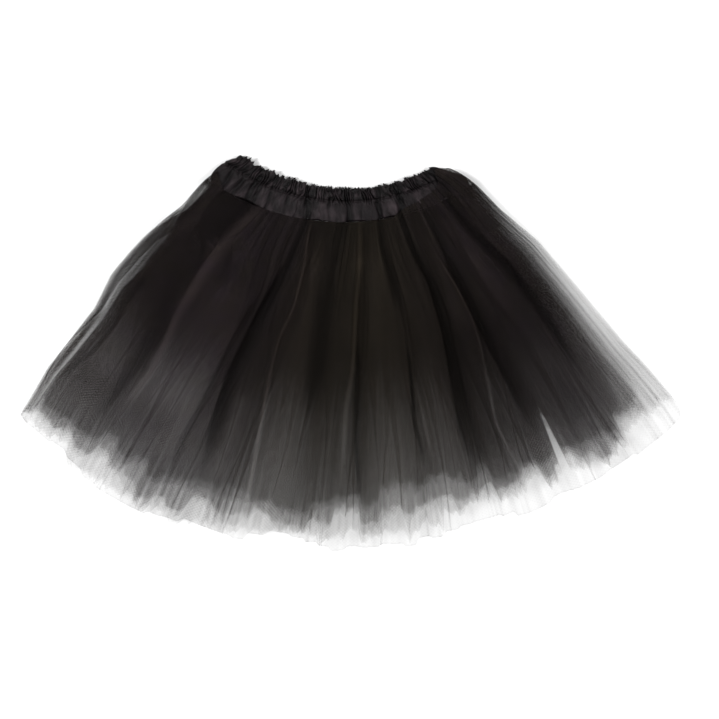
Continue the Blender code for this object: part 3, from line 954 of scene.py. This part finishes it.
def deep_folds(across, down):
    """The deep folds as heights, and how far each point lies in one."""
    height = np.zeros(across.shape)
    valley = np.zeros(across.shape)
    for top_place, low_place, depth, half_width in BAND_FOLDS:
        fold_place = mix(top_place, low_place, down) + 0.003 * np.sin(7 * down + 40 * low_place)
        amount = np.exp(-(np.abs(across - fold_place) * BAND_RUN / half_width) ** 2.2)
        height = height - depth * amount
        valley = valley + min(depth / DEEPEST_FOLD, 1) * amount
    return height, valley


def crumpled_band(rng):
    """The band's grid: where its points lie along it and down it, and its crimps, folds and crumples."""
    place, angle, outward = band_round()
    down, lift = band_profile()
    across = band_across(rng, place, down)
    band = SimpleNamespace(angle=angle, outward=outward, down=down, lift=lift, across=across)
    band.crimp = ridges(rng, across, CRIMPS, 0.55, 0.42, (5, 4))
    band.crimp_size = ridge_sizes(rng, across, CRIMP_SIZES, 0.35, 1.5)
    soft = ridges(rng, across, SOFT_FOLDS, 0.6, 0.22, (14, 8))
    band.soft = soft * ridge_sizes(rng, across, SOFT_SIZES, 0.2, 1.3)
    band.crumple = 0.55 * grain(rng, across.shape, 5, 4) + 0.3 * grain(rng, across.shape, 2.2, 2.5)
    past_line = band.past_line = down - GATHER_LINE
    band.channel = ease(-0.03, 0.03, down) * (1 - ease(-0.06, 0.03, past_line))
    band.carried = np.exp(-(past_line / (0.1 + 0.05 * band.crimp_size)) ** 2) * (past_line > -0.08)
    band.below = ease(-0.02, 0.15, past_line)
    band.folds, band.valley = deep_folds(across, down)
    band.covered = ease(*COVERED_FROM, across)
    return band


def band_radius(band):
    """How far the satin lies from the band's middle."""
    relief = (1.15 * band.channel + 0.75 * band.carried) * band.crimp * band.crimp_size
    relief = relief + band.below * (0.75 * band.soft + 0.6 * band.crumple + 0.5)
    relief = relief + band.folds * mix(0.5, 1, band.below)
    face = FACE_HEIGHT + relief * (1 - COVERED_FLATNESS * band.covered)
    face = face - np.exp(-(band.past_line / 0.03) ** 2) - COVERED_DROP * band.covered
    radius = mix(BACK_HEIGHT, np.maximum(face, LEAST_FACE), (1 + np.cos(band.angle)) / 2)
    return mix(BAND_SLIT, radius, band.lift)


def band_points(rng, band):
    """The satin's points between the band's top arc and the seam, with its frill and hanging edge."""
    down, across, radius = band.down, band.across, band_radius(band)
    frill = 1.4 * band.crimp * band.crimp_size + 1.3 * grain(rng, across.shape, 2.5, 30)
    frill = frill * (1 - ease(0, 0.14, down)) * (band.lift > 0)
    dips = by(BAND_DIPS, 1, across) * ease(0.5, 1, down) * (1 + np.cos(band.angle)) / 2
    way = down + (dips - frill) / BAND_HEIGHT
    x0, y0 = arc_xy(BAND_TOP, across)
    x1, y1 = arc_xy(SEAM, across)
    x2, y2 = arc_xy(SEAM, across + 0.01)
    sideways = band.outward * radius * np.sin(band.angle) / np.hypot(x2 - x1, y2 - y1)
    x = mix(x0, x1, way) + (x2 - x1) * sideways
    y = mix(y0, y1, way) + (y2 - y1) * sideways
    return x, y, np.maximum(BAND_MIDDLE + radius * np.cos(band.angle), LEAST_HEIGHT)


def satin_painted_light(rng, band):
    """Painted light and shade on the satin: painted shade in the channel's crimps, in the folds and under the
    net's cover, painted highlights on the crumples, with uneven patches and a paler stretch towards the right
    end.
    """
    shade = band.channel * (0.75 - 0.6 * band.crimp + 0.5 * grain(rng, band.across.shape, 3, 2))
    shade = shade + 0.35 * band.carried * (1 - band.crimp) + 0.7 * band.covered
    shade = shade + 1.9 * band.valley * mix(0.7, 1, band.below)
    patches = 0.5 * band.crumple + 0.25 * grain(rng, band.across.shape, 14, 8)
    return np.exp((patches + 0.35 * ease(0.76, 0.82, band.across)) * band.below - shade)


def add_band():
    """The satin casing: crimped over the elastic, gathered along a line of stitching, crumpled below."""
    rng = np.random.default_rng(BAND_SEED)
    band = crumpled_band(rng)
    points = band_points(rng, band)
    u = np.linspace(0, 1, band.across.shape[1] + 1) * 2 * BAND_RUN * MM
    v = -band.down * BAND_HEIGHT * MM + 0 * band.across
    piece = grid_mesh("band_satin", satin_material(), points, (u, np.concatenate([v, v[:1]])),
                      {"tone": satin_painted_light(rng, band)}, closed_rows=True)
    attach(piece, "root")
    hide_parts("waistband")


# ---------------- lining
LINING_COLUMNS = 200
LINING_ROWS = 12
# places where the lining starts and ends
LINING_SPAN = (0.04, 0.97)
# how far below the seam line it starts, how far it hangs, how high its front and back lie, and its length
LINING_START = 0.6
LINING_DROP = 57
LINING_FRONT = 4.2
LINING_BACK = 3.7
LINING_RUN = 300


def add_lining():
    """A short open tube of satin, its front on its back."""
    place = np.linspace(*LINING_SPAN, LINING_COLUMNS)
    depth = LINING_START + LINING_DROP * np.linspace(0, 1, LINING_ROWS + 1)[:, None]
    x, y = (np.concatenate([half, half[:, ::-1]], axis=1)
            for half in fan_xy(place + 0 * depth, depth / line_length(place)))
    z = np.repeat([LINING_FRONT, LINING_BACK], LINING_COLUMNS) + 0 * x
    run = np.concatenate([place, 2 - place[::-1], [2 + place[0]]]) * LINING_RUN * MM
    piece = grid_mesh("lining_cloth", lining_material(), (x, y, z), (run, -depth * MM + 0 * x), {})
    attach(piece, "root")
    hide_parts("lining")


# ---------------- floor, lights and camera
# in metres
FLOOR_CORNERS = ((-4, -4), (4, -4), (4, 4), (-4, 4))
FLOOR_HEIGHT = -0.0004
FLOOR_COLOR = (0.9, 0.9, 0.9)
WORLD_STRENGTH = 0.36
# name, place and size in metres, and power in watts
LIGHTS = (
    ("key", (-1.5, 0.3, 1.6), 0.7, 42),
    ("fill", (1.5, 0.2, 1.7), 0.9, 30),
)
# how many net sheets a ray may pass through, and how often it may bounce off them
SHEETS_THROUGH = 48
BOUNCES = 2
# the camera's height in metres, the point below it and the width of its view there
CAMERA_HEIGHT = 6
VIEW_CENTRE = (9.7, -6.1)
VIEW_WIDTH = 719 * 1.105
SENSOR_WIDTH = 36
CAMERA_REACH = 20


def add_stage():
    mesh = bpy.data.meshes.new("floor")
    mesh.from_pydata([(x, y, FLOOR_HEIGHT) for x, y in FLOOR_CORNERS], [], [(0, 1, 2, 3)])
    floor = add_object("floor", mesh)
    mesh.materials.append(principled("floor_white", FLOOR_COLOR, 0.9, 0)[0])


def add_light(name, location, size, power):
    """A round light that faces the middle of the scene."""
    data = bpy.data.lights.new(name, "AREA")
    data.shape = "DISK"
    data.size = size
    data.energy = power
    light = add_object(name, data)
    light.location = location
    light.rotation_euler = (-Vector(location)).to_track_quat("-Z", "Y").to_euler()


def add_world(scene):
    world = scene.world = bpy.data.worlds.new("studio")
    world.use_nodes = True
    feed(world, world.node_tree.nodes["Background"], {"Color": (1, 1, 1, 1), "Strength": WORLD_STRENGTH})


def add_camera(scene):
    """A camera straight above, far enough up for an almost parallel view."""
    data = bpy.data.cameras.new("camera")
    data.sensor_width = SENSOR_WIDTH
    data.lens = SENSOR_WIDTH * CAMERA_HEIGHT / (VIEW_WIDTH * MM)
    data.clip_end = CAMERA_REACH
    camera = add_object("camera", data)
    camera.location = (VIEW_CENTRE[0] * MM, VIEW_CENTRE[1] * MM, CAMERA_HEIGHT)
    scene.camera = camera


def add_lights_and_camera():
    scene = bpy.context.scene
    add_world(scene)
    for light in LIGHTS:
        add_light(*light)
    scene.view_settings.view_transform = "Standard"
    scene.cycles.transparent_max_bounces = SHEETS_THROUGH
    scene.cycles.diffuse_bounces = BOUNCES
    add_camera(scene)


add_net()
add_band()
add_lining()
add_stage()
add_lights_and_camera()
